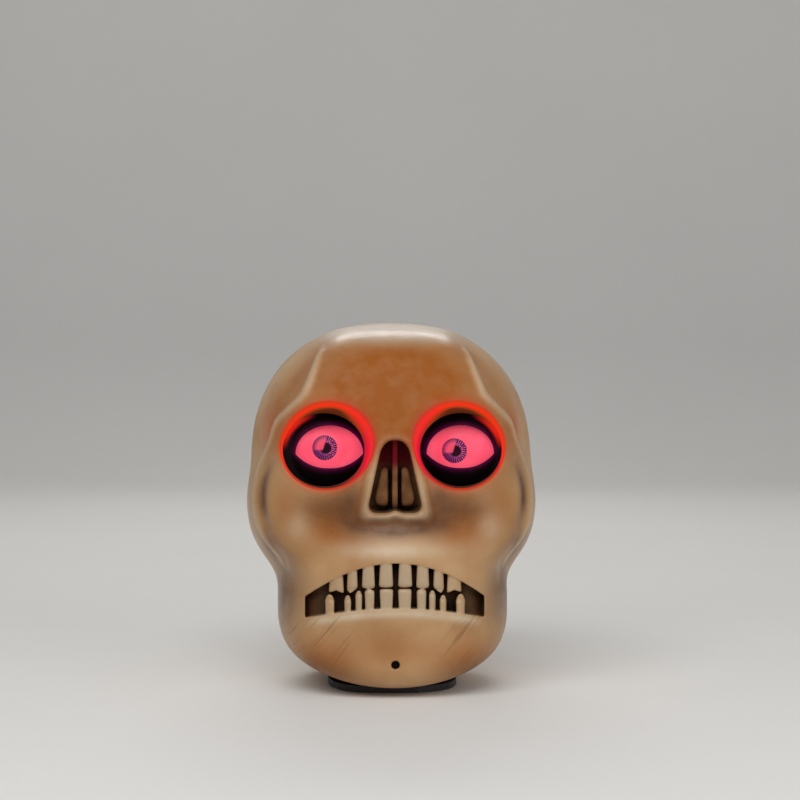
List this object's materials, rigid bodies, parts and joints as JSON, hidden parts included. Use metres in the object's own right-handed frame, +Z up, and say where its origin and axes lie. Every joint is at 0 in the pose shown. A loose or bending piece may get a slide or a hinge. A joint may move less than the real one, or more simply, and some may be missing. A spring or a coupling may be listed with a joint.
{
  "type": "skull decoration",
  "caption": "Hollow moulded skull decoration on a flat base, with lit eyes that swing behind black lids, a battery bay, a slide switch and a sound grille.",
  "frame": {"origin": "on the resting plane, under the middle of the bounding box", "axes": "+Z up, the face looks along -Y, +X to the right of someone facing it"},
  "size_m": [0.131, 0.1491, 0.1615],
  "materials": {
    "bone": "semi-gloss with a brown wash",
    "black": "satin",
    "lit_eye": "translucent, lit from inside",
    "acetal": "natural",
    "brass": "turned",
    "grey_plastic": "moulded",
    "steel": "zinc plated",
    "red_lens": "clear tinted",
    "fibreglass": "solder mask",
    "chip": "moulded",
    "cell_jacket": "wrapped",
    "cable": "insulation"
  },
  "bodies": {
    "skull": {"face_shell": "bone", "rear_shell": "bone", "base_tray": "black", "eyelid_left": "black", "eyelid_right": "black", "eye_deck": "grey_plastic", "eye_bridge": "grey_plastic", "gearbox": "grey_plastic", "motor_can": "steel", "motor_strap": "grey_plastic", "led_left": "red_lens", "led_right": "red_lens", "led_board": "fibreglass", "circuit_board": "fibreglass", "controller_chip": "chip", "switch_body": "grey_plastic", "speaker_frame": "grey_plastic", "speaker_magnet": "steel", "microphone": "steel", "contact_plate_front": "steel", "contact_plate_rear": "steel", "battery_cell_1": "cell_jacket", "battery_cell_2": "cell_jacket", "battery_cell_3": "cell_jacket", "battery_spring_1": "steel", "battery_spring_2": "steel", "battery_spring_3": "steel", "base_screw_front_left": "steel", "base_screw_front_right": "steel", "base_screw_rear_left": "steel", "base_screw_rear_right": "steel", "deck_screw_left": "steel", "deck_screw_right": "steel", "strap_screw_left": "steel", "strap_screw_right": "steel", "speaker_screw_left": "steel", "speaker_screw_right": "steel", "bridge_screw": "steel", "brow_screw": "steel", "led_board_screw": "steel", "board_screw_front": "steel", "board_screw_rear": "steel", "led_cable": "cable", "motor_cable": "cable", "speaker_cable": "cable", "microphone_cable": "cable", "switch_cable": "cable"},
    "eye_left": {"eyeball_left": "lit_eye", "eye_gear_left": "acetal"},
    "eye_right": {"eyeball_right": "lit_eye", "eye_gear_right": "acetal"},
    "rack": {"eye_rack": "acetal"},
    "pinion": {"drive_pinion": "brass", "output_shaft": "steel"},
    "switch": {"switch_knob": "grey_plastic"},
    "door": {"battery_door": "black", "door_screw_front": "steel", "door_screw_rear": "steel"}
  },
  "joints": [
    {"name": "pinion_spin", "type": "hinge", "parent": "skull", "child": "pinion", "pos_m": [0, -0.0105, 0.0845], "axis": [0, 0, 1], "range_deg": [-67.2, 36]},
    {"name": "eye_left_swing", "type": "hinge", "parent": "skull", "child": "eye_left", "pos_m": [-0.029, -0.034, 0.1065], "axis": [0, 0, 1], "range_deg": [-15.05, 28.05]},
    {"name": "eye_right_swing", "type": "hinge", "parent": "skull", "child": "eye_right", "pos_m": [0.029, -0.034, 0.1065], "axis": [0, 0, 1], "range_deg": [-15.05, 28.05]},
    {"name": "rack_slide", "type": "slide", "parent": "skull", "child": "rack", "axis": [1, 0, 0], "range_m": [-0.00586, 0.00314]},
    {"name": "switch_slide", "type": "slide", "parent": "skull", "child": "switch", "axis": [0, 1, 0], "range_m": [0, 0.003]},
    {"name": "door_lift", "type": "slide", "parent": "skull", "child": "door", "axis": [0, 0, -1], "range_m": [0, 0.015]}
  ],
  "couplings": [
    {"joint": "pinion_spin", "follows": "rack_slide", "rad_per_m": 200},
    {"joint": "eye_left_swing", "follows": "rack_slide", "rad_per_m": -83.333},
    {"joint": "eye_right_swing", "follows": "rack_slide", "rad_per_m": -83.333}
  ]
}
